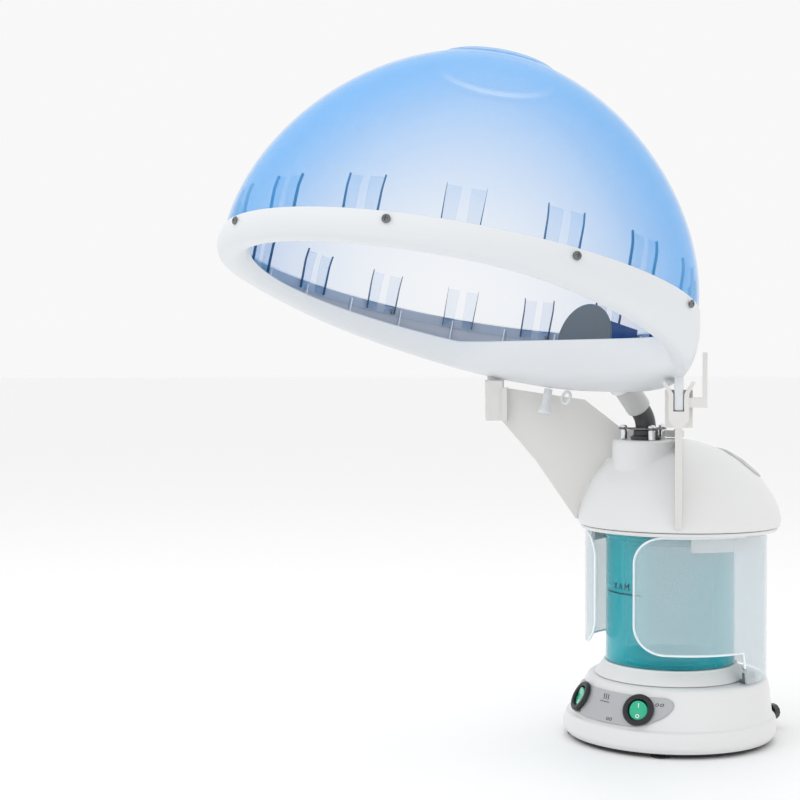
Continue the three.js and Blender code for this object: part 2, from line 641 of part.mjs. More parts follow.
const domeWall = solid((() => {
  const points = domeProfile.map(([r, z]) => new THREE.Vector2(r, z));
  const geometry = new THREE.LatheGeometry(points, 36);
  geometry.rotateX(Math.PI / 2);
  return geometry;
})());
add(hood, 'hood_dome', cut(domeWall, ...screwHoles), blueClear);

// Screws through the ring and the dome's skirt.
HOOD_SCREW_ANGLES.forEach((w, i) => {
  const screw = revolve([
    [0, 186], [1.4, 186], [1.4, 196.4], [3.2, 196.4], [3.2, 197.4], [1.8, 198.4], [0, 198.5]], 10);
  add(hood, `hood_screw_${i + 1}`, moved(screw, screwFrame(w)), steel);
});

// Steam deflector and its duct over the socket.
const DEFLECTOR = { radius: 33, y: 143, z: -17, low: -27 };
const discOutline = [];
for (let k = 0; k <= 40; k += 1) {
  const w = -Math.PI / 2 + (2 * Math.PI * k) / 40;
  const x = DEFLECTOR.radius * Math.cos(w);
  const z = Math.max(DEFLECTOR.z + DEFLECTOR.radius * Math.sin(w), DEFLECTOR.low);
  const last = discOutline[discOutline.length - 1];
  if (!last || Math.hypot(last[0] - x, last[1] - z) > 0.5) discOutline.push([x, z]);
}
const widest = discOutline.filter(([, z]) => z > DEFLECTOR.low);
const edgeX = Math.sqrt(DEFLECTOR.radius ** 2 - (DEFLECTOR.z - DEFLECTOR.low) ** 2);
const plateOutline = [[edgeX, DEFLECTOR.low], ...widest, [-edgeX, DEFLECTOR.low]];
const stem = box(12, 5, 10, 0, DEFLECTOR.y + 4, -16);
add(hood, 'steam_deflector', join(slabXZ(plateOutline, DEFLECTOR.y, 2.4), stem), slate);
const ductOuter = box(44, 34, 48, 0, 167, -45.8);
const ductInner = box(40, 40, 48, 0, 172.1, -47.8);
const ductMouth = box(26, 10, 14, 0, 150, -30);
add(hood, 'steam_duct', cut(ductOuter, ductInner, ductMouth), navy);

// Drain spout and hanging loop under the tray.
add(hood, 'drain_spout', revolve([
  [1.2, -76], [5, -76], [6.4, -75], [3.8, -68], [3.8, -53.6], [1.2, -53.6],
], 14, spoutSpot.x, spoutSpot.y), white);
const loopRing = new THREE.TorusGeometry(5.2, 1.4, 6, 12);
loopRing.rotateX(Math.PI / 2);
loopRing.translate(-45, 176, -60.4);
add(hood, 'hanging_loop', solid(loopRing), white);

hood.applyMatrix4(hoodMatrix);

// ------------------------------------------- wings that carry the hood on the head

const coverClear = stack(COVER_OUTER.map(([r, z, y]) => [r + 0.6, z + 0.5, y]), 36, false);
const bossClear = rod(BOSS_RADIUS + 0.4, 180, BOSS_TOP + 0.4, 0, BOSS_Y, 32);
const hoodClear = [0, 9, 18, 36, 60].map((lift) => ringEnvelope(0.7)
  .translate([0, 0, lift]));

function wing(azimuth, outer) {
  const outline = WING_OUTLINE.map(([r, z]) => [-r, z]);
  const sheet = prism(outline, WING_THICKNESS);
  sheet.rotateX(Math.PI / 2);
  sheet.rotateZ(Math.PI / 2);
  sheet.translate(-WING_THICKNESS / 2, 0, 0);
  const [near, far] = FORK_SPAN;
  const forkOutline = [
    [-8.2, 290], [-3, 283.5], [3, 283.5], [8.2, 290], [8.2, 311], [13, 320], [10.5, 321],
    [4.2, 311], [4.2, 297], [-4.2, 297], [-4.2, 311], [-10.5, 321], [-13, 320], [-8.2, 311],
  ];
  const fork = slabXZ(forkOutline, -far, far - near + 1);
  const flangePlate = box(22, 5, 30.5, 0, -near + 2.5, 283.5);
  const cheek = join(
    box(3.6, 13, 44, outer * 20.5, -(near + far) / 2, 300),
    box(18, 13, 8, outer * 13, -(near + far) / 2, 300));
  const whole = moved(join(solid(sheet), fork, flangePlate, cheek), forkMatrix(azimuth));
  return cut(whole, coverClear, bossClear, ...hoodClear);
}
add(head, 'bracket_wing_right', wing(WING_AZIMUTH, 1), cream);
add(head, 'bracket_wing_left', wing(-WING_AZIMUTH, -1), cream);

// A bar joins the wings' inner ends and is screwed to the crown of the cover.
const [bridgeLow, bridgeHigh] = BRIDGE.z;
add(head, 'bracket_bridge', cut(
  box(BRIDGE.width, BRIDGE.depth, bridgeHigh - bridgeLow, 0, BRIDGE.y, bridgeLow),
  ...BRIDGE_SCREW_X.map((x) => rod(1.9, 255, 280, x, BRIDGE.y, 8))), cream);
BRIDGE_SCREW_X.forEach((x, i) => {
  const screw = revolve([
    [0, 264], [1.5, 264], [1.5, 276.1], [3, 276.1], [2.4, 277.6], [0, 277.9]], 10, x, BRIDGE.y);
  add(head, `bridge_screw_${i + 1}`, screw, chrome);
});

// The design axis runs through the base; the finished object stands on the centre of its box.
steamer.updateMatrixWorld(true);
const bounds = new THREE.Box3().setFromObject(steamer, true);
const middle = bounds.getCenter(new THREE.Vector3());
steamer.position.set(-middle.x, -middle.y, -bounds.min.z);

export default steamer;
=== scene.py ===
"""Looks of the two-in-one face and hair steamer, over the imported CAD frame."""
import math

import bmesh
import bpy
from mathutils import Matrix, Vector


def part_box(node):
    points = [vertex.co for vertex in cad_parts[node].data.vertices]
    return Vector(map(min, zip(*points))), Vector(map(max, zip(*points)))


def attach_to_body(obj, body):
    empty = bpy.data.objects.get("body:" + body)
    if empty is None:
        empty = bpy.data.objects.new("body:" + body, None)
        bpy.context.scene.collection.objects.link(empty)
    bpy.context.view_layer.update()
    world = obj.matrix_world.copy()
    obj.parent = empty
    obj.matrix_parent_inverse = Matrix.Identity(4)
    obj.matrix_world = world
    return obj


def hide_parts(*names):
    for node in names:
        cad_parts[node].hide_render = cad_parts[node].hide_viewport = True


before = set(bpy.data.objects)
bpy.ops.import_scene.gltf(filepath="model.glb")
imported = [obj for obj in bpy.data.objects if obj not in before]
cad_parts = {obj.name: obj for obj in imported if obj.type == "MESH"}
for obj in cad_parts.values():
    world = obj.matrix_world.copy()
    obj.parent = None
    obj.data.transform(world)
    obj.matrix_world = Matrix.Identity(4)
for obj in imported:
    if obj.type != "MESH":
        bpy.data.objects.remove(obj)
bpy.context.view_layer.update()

# ------------------------------------------------------------------ frames, in mm
# Design coordinates are millimetres with the base's axis at x = y = 0.
MM = 0.001
plate_low, plate_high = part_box("base_plate")
SHIFT = (plate_low[1] + plate_high[1]) / 2 + 12 * MM
DESIGN = Matrix.Translation((0, SHIFT, 0)) @ Matrix.Scale(MM, 4)
HOOD = DESIGN @ Matrix.Translation((0, -254, 404)) @ Matrix.Rotation(math.radians(-13.1), 4, "X")

TANK_Y = -10.5
GUARD_Y = -4.0
BOSS_Y = -42.0
HEAD = [
    (90, 190.5, 0), (90.5, 198, 0), (87.4, 210.4, -0.3), (82, 221.5, -1.2),
    (74.8, 233, -2.5), (60, 248, -5.5), (47, 256.5, -7), (33, 262.5, -8.5),
    (17, 267.3, -9.5), (0, 269, -10),
]
CASING = [
    (92, 4.5, -12), (94.8, 9, -12), (94.6, 15, -11.5), (93.4, 20.5, -10.6),
    (89.5, 22.8, -9.6), (86.5, 34, -6.5), (83, 46, -3.2), (80.8, 52.5, -1.8),
    (77.5, 55.5, -1.5), (66, 56, -1.5),
]


def switch_frame(azimuth):
    """Local Z points out of the panel and local Y points up it."""
    a, s = math.radians(azimuth), math.radians(28.5)
    out = Vector((math.sin(a) * math.cos(s), -math.cos(a) * math.cos(s), math.sin(s)))
    across = Vector((math.cos(a), math.sin(a), 0))
    up = out.cross(across)
    at = Vector((85.6 * math.sin(a), -5.7 - 85.6 * math.cos(a), 37))
    m = Matrix((across, up, out)).transposed().to_4x4()
    m.translation = at
    return DESIGN @ m


# ---------------------------------------------------------------------- materials

def material(name, color, rough, spread=0.03, bump=0.02, scale=60.0, coat=0.0, **sockets):
    """Moulded or cast surface: slow colour drift, uneven gloss and a fine grain."""
    m = bpy.data.materials.new(name)
    m.use_nodes = True
    t = m.node_tree
    bsdf = t.nodes["Principled BSDF"]
    coord = t.nodes.new("ShaderNodeTexCoord")

    drift = t.nodes.new("ShaderNodeTexNoise")
    drift.inputs["Scale"].default_value = scale * 0.12
    drift.inputs["Detail"].default_value = 3
    t.links.new(coord.outputs["Object"], drift.inputs["Vector"])
    ramp = t.nodes.new("ShaderNodeValToRGB")
    ramp.color_ramp.elements[0].position = 0.3
    ramp.color_ramp.elements[1].position = 0.7
    ramp.color_ramp.elements[0].color = (*[c * (1 - spread) for c in color], 1)
    ramp.color_ramp.elements[1].color = (*[min(c * (1 + spread), 1) for c in color], 1)
    t.links.new(drift.outputs["Fac"], ramp.inputs["Fac"])
    t.links.new(ramp.outputs["Color"], bsdf.inputs["Base Color"])

    wear = t.nodes.new("ShaderNodeTexNoise")
    wear.inputs["Scale"].default_value = scale
    wear.inputs["Detail"].default_value = 4
    t.links.new(coord.outputs["Object"], wear.inputs["Vector"])
    gloss = t.nodes.new("ShaderNodeMapRange")
    gloss.inputs["To Min"].default_value = max(rough - 0.06, 0.02)
    gloss.inputs["To Max"].default_value = rough + 0.06
    t.links.new(wear.outputs["Fac"], gloss.inputs["Value"])
    t.links.new(gloss.outputs["Result"], bsdf.inputs["Roughness"])

    grain = t.nodes.new("ShaderNodeTexNoise")
    grain.inputs["Scale"].default_value = scale * 22
    grain.inputs["Detail"].default_value = 2
    t.links.new(coord.outputs["Object"], grain.inputs["Vector"])
    relief = t.nodes.new("ShaderNodeBump")
    relief.inputs["Strength"].default_value = bump
    relief.inputs["Distance"].default_value = 0.0003
    t.links.new(grain.outputs["Fac"], relief.inputs["Height"])
    t.links.new(relief.outputs["Normal"], bsdf.inputs["Normal"])

    bsdf.inputs["Coat Weight"].default_value = coat
    bsdf.inputs["Coat Roughness"].default_value = 0.08
    for socket, value in sockets.items():
        bsdf.inputs[socket.replace("_", " ")].default_value = value
    return m


def clear(name, color, rough, face_alpha, edge_alpha, blend=0.35, spread=0.04, **sockets):
    """Clear moulding that hides more of what lies behind it towards its outline."""
    m = material(name, color, rough, spread=spread, bump=0.006, scale=30, **sockets)
    t = m.node_tree
    bsdf = t.nodes["Principled BSDF"]
    facing = t.nodes.new("ShaderNodeLayerWeight")
    facing.inputs["Blend"].default_value = blend
    see = t.nodes.new("ShaderNodeMapRange")
    see.inputs["To Min"].default_value = face_alpha
    see.inputs["To Max"].default_value = edge_alpha
    t.links.new(facing.outputs["Facing"], see.inputs["Value"])
    t.links.new(see.outputs["Result"], bsdf.inputs["Alpha"])
    return m


def brushed(name, color, rough, scale=(4, 4, 900)):
    """Metal with fine lines along one direction."""
    m = material(name, color, rough, spread=0.05, bump=0.0, Metallic=1.0)
    t = m.node_tree
    bsdf = t.nodes["Principled BSDF"]
    coord = t.nodes.new("ShaderNodeTexCoord")
    stretch = t.nodes.new("ShaderNodeMapping")
    stretch.inputs["Scale"].default_value = scale
    lines = t.nodes.new("ShaderNodeTexNoise")
    lines.inputs["Scale"].default_value = 3
    t.links.new(coord.outputs["Object"], stretch.inputs["Vector"])
    t.links.new(stretch.outputs["Vector"], lines.inputs["Vector"])
    relief = t.nodes.new("ShaderNodeBump")
    relief.inputs["Strength"].default_value = 0.15
    relief.inputs["Distance"].default_value = 0.0002
    t.links.new(lines.outputs["Fac"], relief.inputs["Height"])
    t.links.new(relief.outputs["Normal"], bsdf.inputs["Normal"])
    return m


WHITE = material("casing_white", (0.75, 0.75, 0.75), 0.34, spread=0.008, bump=0.015, coat=0.25)
HOOD_WHITE = material("hood_white", (0.72, 0.745, 0.77), 0.36, spread=0.008, bump=0.004, coat=0.08)
CREAM = material("bracket_cream", (0.72, 0.71, 0.69), 0.42, spread=0.012, bump=0.03)
BASE_BLACK = material("base_black", (0.012, 0.012, 0.013), 0.5, spread=0.2, bump=0.06)
BEZEL_BLACK = material("bezel_black", (0.012, 0.012, 0.014), 0.36, spread=0.2, bump=0.05)
RUBBER = material("foot_rubber", (0.02, 0.02, 0.021), 0.75, spread=0.15, bump=0.12)
SILVER = material("label_silver", (0.46, 0.47, 0.485), 0.4, spread=0.03, bump=0.04, Metallic=0.35)
INK = material("printed_ink", (0.02, 0.022, 0.026), 0.55, spread=0.1)
LEVEL_INK = material("level_ink", (0.01, 0.05, 0.07), 0.5, spread=0.1)
MARK_WHITE = material("mark_white", (0.9, 0.93, 0.91), 0.4, spread=0.01)
# The faint green emission on the rockers is painted glow that lifts their colour; it is not a lamp.
GREEN_PAINTED_GLOW = material("rocker_green", (0.006, 0.36, 0.20), 0.16, spread=0.12, bump=0.01, scale=120,
                 coat=0.6, Emission_Color=(0.0, 0.5, 0.28, 1), Emission_Strength=0.12)
TEAL = clear("tank_teal", (0.006, 0.50, 0.58), 0.08, 0.34, 0.94, blend=0.46, coat=0.3)
GUARD = clear("guard_clear", (0.76, 0.83, 0.87), 0.22, 0.24, 0.62, blend=0.3, coat=0.2)
# Near-white opaque finish for the guard's cut edges, a painted highlight.
GUARD_EDGE_HIGHLIGHT = material("guard_edge_painted_highlight", (0.88, 0.95, 0.98), 0.2, spread=0.01, bump=0.01)
GRIP = clear("grip_grey", (0.55, 0.53, 0.55), 0.3, 0.75, 0.92)
SLEEVE = clear("sleeve_clear", (0.56, 0.57, 0.57), 0.3, 0.78, 0.95, coat=0.2)
PIPE = material("pipe_grey", (0.055, 0.055, 0.058), 0.34, spread=0.1, bump=0.05)
DOME = clear("dome_blue", (0.05, 0.42, 0.90), 0.06, 0.03, 0.88, blend=0.26, spread=0.02, coat=0.15)
TAB = clear("tab_blue", (0.06, 0.44, 0.90), 0.15, 0.06, 0.30)
# Dark navy slabs beside the dome's tabs are painted shade in the gaps there.
TAB_GAP_SHADE = material("tab_gap_shade", (0.02, 0.10, 0.22), 0.3, spread=0.1)
RIB = material("rib_white", (0.82, 0.84, 0.86), 0.4, spread=0.01)
TRAY = material("tray_shade", (0.50, 0.53, 0.58), 0.4, spread=0.02)
SLATE = material("deflector_slate", (0.115, 0.145, 0.170), 0.42, spread=0.04, bump=0.04)
NAVY = material("duct_navy", (0.03, 0.10, 0.30), 0.25, spread=0.08)
STEEL = brushed("flange_steel", (0.16, 0.165, 0.17), 0.34)
SCREW = brushed("screw_steel", (0.20, 0.205, 0.21), 0.3)
CHROME = material("post_chrome", (0.80, 0.81, 0.83), 0.10, spread=0.02, bump=0.0, Metallic=1.0)
HOT_PLATE = brushed("heater_steel", (0.08, 0.16, 0.20), 0.32)
ALUMINIUM = brushed("heater_aluminium", (0.60, 0.61, 0.63), 0.4)
THERMO = brushed("thermostat_steel", (0.5, 0.5, 0.51), 0.35)
IRON = material("transformer_iron", (0.06, 0.063, 0.067), 0.6, spread=0.2, bump=0.2, Metallic=0.7)
BOARD = material("board_green", (0.01, 0.09, 0.035), 0.4, spread=0.2, bump=0.1)
GASKET = material("gasket_rubber", (0.03, 0.045, 0.05), 0.6, spread=0.1)
CLIP = material("clip_grey", (0.14, 0.15, 0.155), 0.4, spread=0.06)

# ------------------------------------------------------------------ mesh builders


def make(name, verts, faces, mat, place=DESIGN, sharp=32, weld=True):
    """A shown piece from points in mm, with its sharp edges kept."""
    data = bpy.data.meshes.new(name)
    data.from_pydata([place @ Vector(v) for v in verts], [], faces)
    bm = bmesh.new()
    bm.from_mesh(data)
    if weld:
        bmesh.ops.remove_doubles(bm, verts=bm.verts, dist=2e-7)
    bmesh.ops.recalc_face_normals(bm, faces=bm.faces)
    bm.to_mesh(data)
    bm.free()
    data.shade_smooth()
    data.set_sharp_from_angle(angle=math.radians(sharp))
    piece = bpy.data.objects.new(name, data)
    bpy.context.collection.objects.link(piece)
    data.materials.append(mat)
    return piece


def attach(piece, body, slot, *nodes):
    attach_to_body(piece, body)
    if nodes:
        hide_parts(*nodes)
    return piece


def joined(name, parts):
    """Several lists of (verts, faces) as one."""
    verts, faces = [], []
    for v, f in parts:
        base = len(verts)
        verts += list(v)
        faces += [tuple(i + base for i in face) for face in f]
    return verts, faces


def shell(rows, wrap_rows=False, wrap_cols=True, caps=False):
    """Quads over rows of points."""
    count = len(rows[0])
    verts = [tuple(p) for row in rows for p in row]
    faces = []
    for k in range(len(rows) if wrap_rows else len(rows) - 1):
        n = (k + 1) % len(rows)
        for i in range(count if wrap_cols else count - 1):
            j = (i + 1) % count
            faces.append((k * count + i, k * count + j, n * count + j, n * count + i))
    if caps:
        faces.append(tuple(range(count)))
        faces.append(tuple((len(rows) - 1) * count + i for i in reversed(range(count))))
    return verts, faces


def rounded(points, radius, closed=True, steps=4):
    """The outline with its corners rounded; a point may carry its own radius last."""
    out = []
    n = len(points)
    for i, p in enumerate(points):
        here = Vector(p[:2])
        r = p[2] if len(p) > 2 else radius
        if not closed and i in (0, n - 1):
            out.append(here)
            continue
        a = Vector(points[i - 1][:2]) - here
        b = Vector(points[(i + 1) % n][:2]) - here
        turn = math.pi - a.angle(b) if a.length > 1e-6 and b.length > 1e-6 else 0
        if turn < 0.2 or r <= 0:
            out.append(here)
            continue
        cut = min(r * math.tan(turn / 2), a.length * 0.45, b.length * 0.45)
        start, end = here + a.normalized() * cut, here + b.normalized() * cut
        for k in range(steps + 1):
            t = k / steps
            out.append(start * (1 - t) ** 2 + here * 2 * t * (1 - t) + end * t * t)
    return [(q.x, q.y) for q in out]


def flowing(points, steps=6):
    """Catmull-Rom curve through points of any dimension."""
    out = []
    for i in range(len(points) - 1):
        p0, p1 = points[max(i - 1, 0)], points[i]
        p2, p3 = points[i + 1], points[min(i + 2, len(points) - 1)]
        for k in range(steps):
            t = k / steps
            out.append(tuple(
                0.5 * (2 * b + (c - a) * t + (2 * a - 5 * b + 4 * c - d) * t * t
                       + (3 * b - a - 3 * c + d) * t ** 3)
                for a, b, c, d in zip(p0, p1, p2, p3)))
    out.append(tuple(points[-1]))
    return out


def revolved(profile, steps=96, x=0.0, y=0.0, closed=None):
    """A profile of (radius, height) turned about Z."""
    if closed is None:
        closed = not (profile[0][0] < 1e-6 and profile[-1][0] < 1e-6)
    rows = []
    for r, z in profile:
        rows.append([
            (x + r * math.cos(2 * math.pi * i / steps), y + r * math.sin(2 * math.pi * i / steps), z)
            for i in range(steps)])
    return shell(rows, wrap_rows=closed)


def stacked(rings, steps=128, closed=False):
    rows = []
    for r, z, y in rings:
        rows.append([
            (r * math.cos(2 * math.pi * i / steps), y + r * math.sin(2 * math.pi * i / steps), z)
            for i in range(steps)])
    return shell(rows, wrap_rows=closed)


def tube(path, radius, steps=48, inner=None):
    """A round bar or pipe along points in 3D."""
    pts = [Vector(p) for p in path]
    rows = []
    reference = Vector((1, 0, 0))
    ways = []
    for i in range(len(pts)):
        way = (pts[min(i + 1, len(pts) - 1)] - pts[max(i - 1, 0)]).normalized()
        ways.append(way)
    def ring(i, r):
        side = (reference - ways[i] * reference.dot(ways[i])).normalized()
        up = ways[i].cross(side)
        return [pts[i] + side * (r * math.cos(2 * math.pi * k / steps))
                + up * (r * math.sin(2 * math.pi * k / steps)) for k in range(steps)]
    radii = radius if isinstance(radius, (list, tuple)) else [radius] * len(pts)
    rows = [ring(i, radii[i]) for i in range(len(pts))]
    if inner is None:
        return shell(rows, caps=True)
    rows += [ring(i, inner) for i in reversed(range(len(pts)))]
    return shell(rows, wrap_rows=True)


def block(low, high, bevel=0.6):
    """A box with rounded edges."""
    bm = bmesh.new()
    bmesh.ops.create_cube(bm, size=1)
    size = [b - a for a, b in zip(low, high)]
    mid = [(a + b) / 2 for a, b in zip(low, high)]
    for v in bm.verts:
        v.co = Vector([v.co[k] * size[k] + mid[k] for k in range(3)])
    bmesh.ops.bevel(bm, geom=list(bm.edges), offset=bevel, segments=2, affect="EDGES", profile=0.5)
    bm.verts.ensure_lookup_table()
    verts = [tuple(v.co) for v in bm.verts]
    faces = [tuple(v.index for v in f.verts) for f in bm.faces]
    bm.free()
    return verts, faces


def placed(part, matrix):
    verts, faces = part
    return [tuple(matrix @ Vector(v)) for v in verts], faces


def boolean(piece, cutters, operation="DIFFERENCE"):
    """Cuts or trims a piece by others, which are then removed."""
    for cutter in cutters:
        mod = piece.modifiers.new("cut", "BOOLEAN")
        mod.operation = operation
        mod.solver = "EXACT"
        mod.object = cutter
    dg = bpy.context.evaluated_depsgraph_get()
    data = bpy.data.meshes.new_from_object(piece.evaluated_get(dg))
    piece.modifiers.clear()
    materials = list(piece.data.materials)
    piece.data = data
    data.materials.clear()
    for m in materials:
        data.materials.append(m)
    for polygon in data.polygons:
        polygon.material_index = 0
    data.shade_smooth()
    data.set_sharp_from_angle(angle=math.radians(32))
    for cutter in cutters:
        bpy.data.objects.remove(cutter)
    return piece


def wearing(node, mat, bevel=0.0, segments=2):
    """A CAD node keeps its shape and gets a finish, and a softened edge if asked."""
    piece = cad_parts[node]
    piece.data.materials.clear()
    piece.data.materials.append(mat)
    if bevel:
        mod = piece.modifiers.new("edge", "BEVEL")
        mod.width = bevel * MM
        mod.segments = segments
        mod.limit_method = "ANGLE"
        mod.angle_limit = math.radians(40)
    return piece


def lettering(words, size):
    """Flat letters in mm, centred, as (verts, faces) in XY."""
    curve = bpy.data.curves.new("lettering", "FONT")
    curve.body = words
    curve.size = size
    curve.align_x = "CENTER"
    curve.space_character = 1.35
    holder = bpy.data.objects.new("lettering", curve)
    bpy.context.collection.objects.link(holder)
    dg = bpy.context.evaluated_depsgraph_get()
    data = bpy.data.meshes.new_from_object(holder.evaluated_get(dg))
    verts = [tuple(v.co) for v in data.vertices]
    faces = [tuple(p.vertices) for p in data.polygons]
    bpy.data.objects.remove(holder)
    bpy.data.meshes.remove(data)
    return verts, faces


# --------------------------------------------------------------------------- base

casing_rings = flowing([(r, z, y) for r, z, y in CASING[:4]], 6)[:-1]
casing_rings += [(93.2, 21.2, -10.5), (92.4, 22.0, -10.3), (91.0, 22.4, -10.0), (90.2, 22.8, -9.8),
                 (89.6, 23.6, -9.5)]
casing_rings += flowing([(86.5, 34, -6.5), (83, 46, -3.2), (81.4, 50.6, -2.1), (80.3, 53.2, -1.7),
                         (78.4, 55.0, -1.5), (75.5, 55.9, -1.5), (66, 56, -1.5)], 5)
inner_rings = [(66, 53, -1.5), (75.5, 52.8, -1.6), (80, 45, -3.4), (83.5, 34, -6.6),
               (90.6, 19, -11), (91.5, 9, -12), (90, 4.5, -12)]
casing = make("casing_shell", *stacked(casing_rings + inner_rings, 160, closed=True), WHITE)
holes = [make(f"hole_{i}", *revolved([(0, -20), (11.6, -20), (11.6, 14), (0, 14)], 48), WHITE,
              place=switch_frame(a)) for i, a in enumerate((-24, 24))]
boolean(casing, holes)
attach(casing, "base", "casing_white", "base_casing")

plate = make("bottom_cover", *revolved([(0, 2.0), (87, 2.0), (89.4, 2.5), (90, 3.3), (90, 4.2), (0, 4.2)],
                                       160, y=-12), BASE_BLACK)
attach(plate, "base", "base_black", "base_plate")
for i, (x, y) in enumerate([(-52, -76), (52, -76), (-50, 52), (50, 52)], 1):
    foot = revolved([(0, 0), (6.5, 0), (7.7, 0.25), (8.4, 0.9), (8.5, 1.7), (0, 1.7)], 48, x, y)
    attach(make(f"foot_{i}", *foot, RUBBER), "base", "foot_rubber", f"rubber_foot_{i}")


def on_panel(x, z, lift):
    """A point above the slanted front of the casing."""
    t = (z - 34) / 12
    r, y0 = 86.5 - 3.5 * t + lift, -6.5 + 3.3 * t
    return (x, y0 - math.sqrt(max(r * r - x * x, 0)), z + lift * 0.5)


outline = [(52, 48.4, 5), (57, 45.5, 6), (58.6, 40.5, 8), (56, 34, 12), (46, 26.8, 10), (38, 24.4, 8)]
outline = outline + [(-x, z, r) for x, z, r in reversed(outline)]
label_outline = rounded(outline, 6, steps=5)
xs = sorted({round(x, 3) for x, _ in label_outline} | {i * 2.0 for i in range(-28, 29)})


def label_span(x):
    """Lowest and highest z of the label's outline at x."""
    hits = []
    n = len(label_outline)
    for i in range(n):
        (x0, z0), (x1, z1) = label_outline[i], label_outline[(i + 1) % n]
        if min(x0, x1) - 1e-6 <= x <= max(x0, x1) + 1e-6:
            t = 0.5 if abs(x1 - x0) < 1e-9 else (x - x0) / (x1 - x0)
            hits.append(z0 + (z1 - z0) * t)
    return min(hits), max(hits)


rows_top, rows_low = [], []
for x in xs:
    z0, z1 = label_span(x)
    column = [z0 + (z1 - z0) * k / 12 for k in range(13)]
    rows_top.append([on_panel(x, z, 1.7) for z in column])
    rows_low.append([on_panel(x, z, 0.2) for z in column])
loops = [top + low[::-1] for top, low in zip(rows_top, rows_low)]
label = make("panel_label", *shell(loops, caps=True), SILVER, sharp=40)
holes = [make(f"hole_{i}", *revolved([(0, -20), (11.4, -20), (11.4, 14), (0, 14)], 48), SILVER,
              place=switch_frame(a)) for i, a in enumerate((-24, 24))]
boolean(label, holes)
attach(label, "base", "label_silver", "control_label")

bezel_profile = rounded([
    (9.2, -12), (10.6, -12), (10.6, 2.3), (14, 2.3), (14, 3.9, 1.0), (12.7, 5.4, 1.2), (10.2, 5.4, 0.6),
    (9.2, 4.6, 0.5)], 0.3)


def rocker_height(x, y, r):
    """Height of a rocker's top, dished about its tilt axis and eased at its edge."""
    base = 2.9 + 1.45 * (abs(y) / 8.2) ** 1.4
    edge = max(0.0, (r - 7.5) / 0.7)
    return base - 0.35 * edge * edge


for name, azimuth in (("steam", -24), ("ozone", 24)):
    place = switch_frame(azimuth)
    bezel = make(f"{name}_switch_bezel", *revolved(bezel_profile, 80), BEZEL_BLACK, place=place)
    attach(bezel, "base", "bezel_black", f"{name}_bezel")
    wearing(f"{name}_switch_body", BEZEL_BLACK)
    tilted = place @ Matrix.Rotation(math.radians(9), 4, "X")
    rows = [[(0, 0, -4)] * 64]
    rows.append([(8.2 * math.cos(2 * math.pi * i / 64), 8.2 * math.sin(2 * math.pi * i / 64), -4)
                 for i in range(64)])
    for r in (8.2, 8.1, 7.9, 7.6, 7.0, 6, 5, 4, 3, 2, 1, 0):
        rows.append([])
        for i in range(64):
            w = 2 * math.pi * i / 64
            x, y = r * math.cos(w), r * math.sin(w)
            rows[-1].append((x, y, rocker_height(x, y, r)))
    rocker = make(f"{name}_rocker_cap", *shell(rows), GREEN_PAINTED_GLOW, place=tilted, sharp=50)
    attach(rocker, f"{name}_switch", "rocker_green", f"{name}_rocker")
    marks = []
    steps = 10
    rows = []
    for k in range(steps + 1):
        y = 2.6 + 3.6 * k / steps
        rows.append([(x, y, rocker_height(x, y, abs(y)) + h) for x, h in ((-0.38, -0.1), (-0.38, 0.12),
                                                                          (0.38, 0.12), (0.38, -0.1))])
    marks.append(shell(rows, caps=True))
    rows = []
    for k in range(40):
        w = 2 * math.pi * k / 40
        loop = []
        for r, h in ((1.1, -0.1), (1.1, 0.12), (1.75, 0.12), (1.75, -0.1)):
            x, y = r * math.cos(w), -4.9 + r * math.sin(w)
            loop.append((x, y, rocker_height(x, y, abs(y)) + h))
        rows.append(loop)
    marks.append(shell(rows, wrap_rows=True))
    mark = make(f"{name}_rocker_marks", *joined("marks", marks), MARK_WHITE, place=tilted)
    attach(mark, f"{name}_switch", "level_ink")


def stroke(points, width, lift=1.78):
    """A printed line on the label through (x, z) points."""
    rows = []
    pts = [Vector(p) for p in points]
    for i, p in enumerate(pts):
        way = (pts[min(i + 1, len(pts) - 1)] - pts[max(i - 1, 0)]).normalized()
        side = Vector((-way.y, way.x)) * width / 2
        a, b = p - side, p + side
        rows.append([on_panel(a.x, a.y, lift), on_panel(a.x, a.y, lift + 0.12),
                     on_panel(b.x, b.y, lift + 0.12), on_panel(b.x, b.y, lift)])
    return shell(rows, caps=True)


prints = []
for dx in (-2.6, 0, 2.6):
    wave = [(dx + 0.7 * math.sin(k / 12 * 2 * math.pi), 41.5 + 4.2 * k / 12) for k in range(13)]
    prints.append(stroke(wave, 0.55))
prints.append(stroke([(-5.5 + k, 39.6) for k in range(12)], 0.5))
for cx, cz in ((49.5, 42.5), (-30, 26.6), (12, 27.2)):
    for dx in (-1.7, 1.7):
        ring = [(cx + dx + 1.05 * math.cos(k / 16 * 2 * math.pi), cz + 1.05 * math.sin(k / 16 * 2 * math.pi))
                for k in range(17)]
        prints.append(stroke(ring, 0.4))
attach(make("label_print", *joined("print", prints), INK, sharp=60), "base", "bezel_black")

collar_profile = rounded([
    (64.5, 56.3), (67.4, 56.4), (66.9, 58), (59.8, 66.9), (59.2, 68.6, 0.8), (52.5, 68.6),
    (52.5, 66.4), (56.5, 65.6)], 0.8)
attach(make("tank_cone", *revolved(collar_profile, 128, y=TANK_Y), WHITE), "base", "casing_white",
       "tank_collar")

tank_profile = rounded([
    (36, 69), (57.5, 69, 1.2), (57.5, 180), (59, 182), (59, 185, 0.6), (55, 185, 0.6), (55, 72, 2), (36, 72)],
    0.8)
attach(make("tank_shell", *revolved(tank_profile, 144, y=TANK_Y), TEAL), "base", "tank_teal", "water_tank")
plate_profile = rounded([
    (0, 68.2), (35.6, 68.2), (35.6, 72.4), (43, 72.4),
    (43, 74.2, 0.8), (30, 74.2, 1), (27, 73.4, 1), (0, 73.4)],
    0.5)
attach(make("floor_plate", *revolved(plate_profile, 96, y=TANK_Y), HOT_PLATE), "base", "heater_steel",
       "heater_plate")

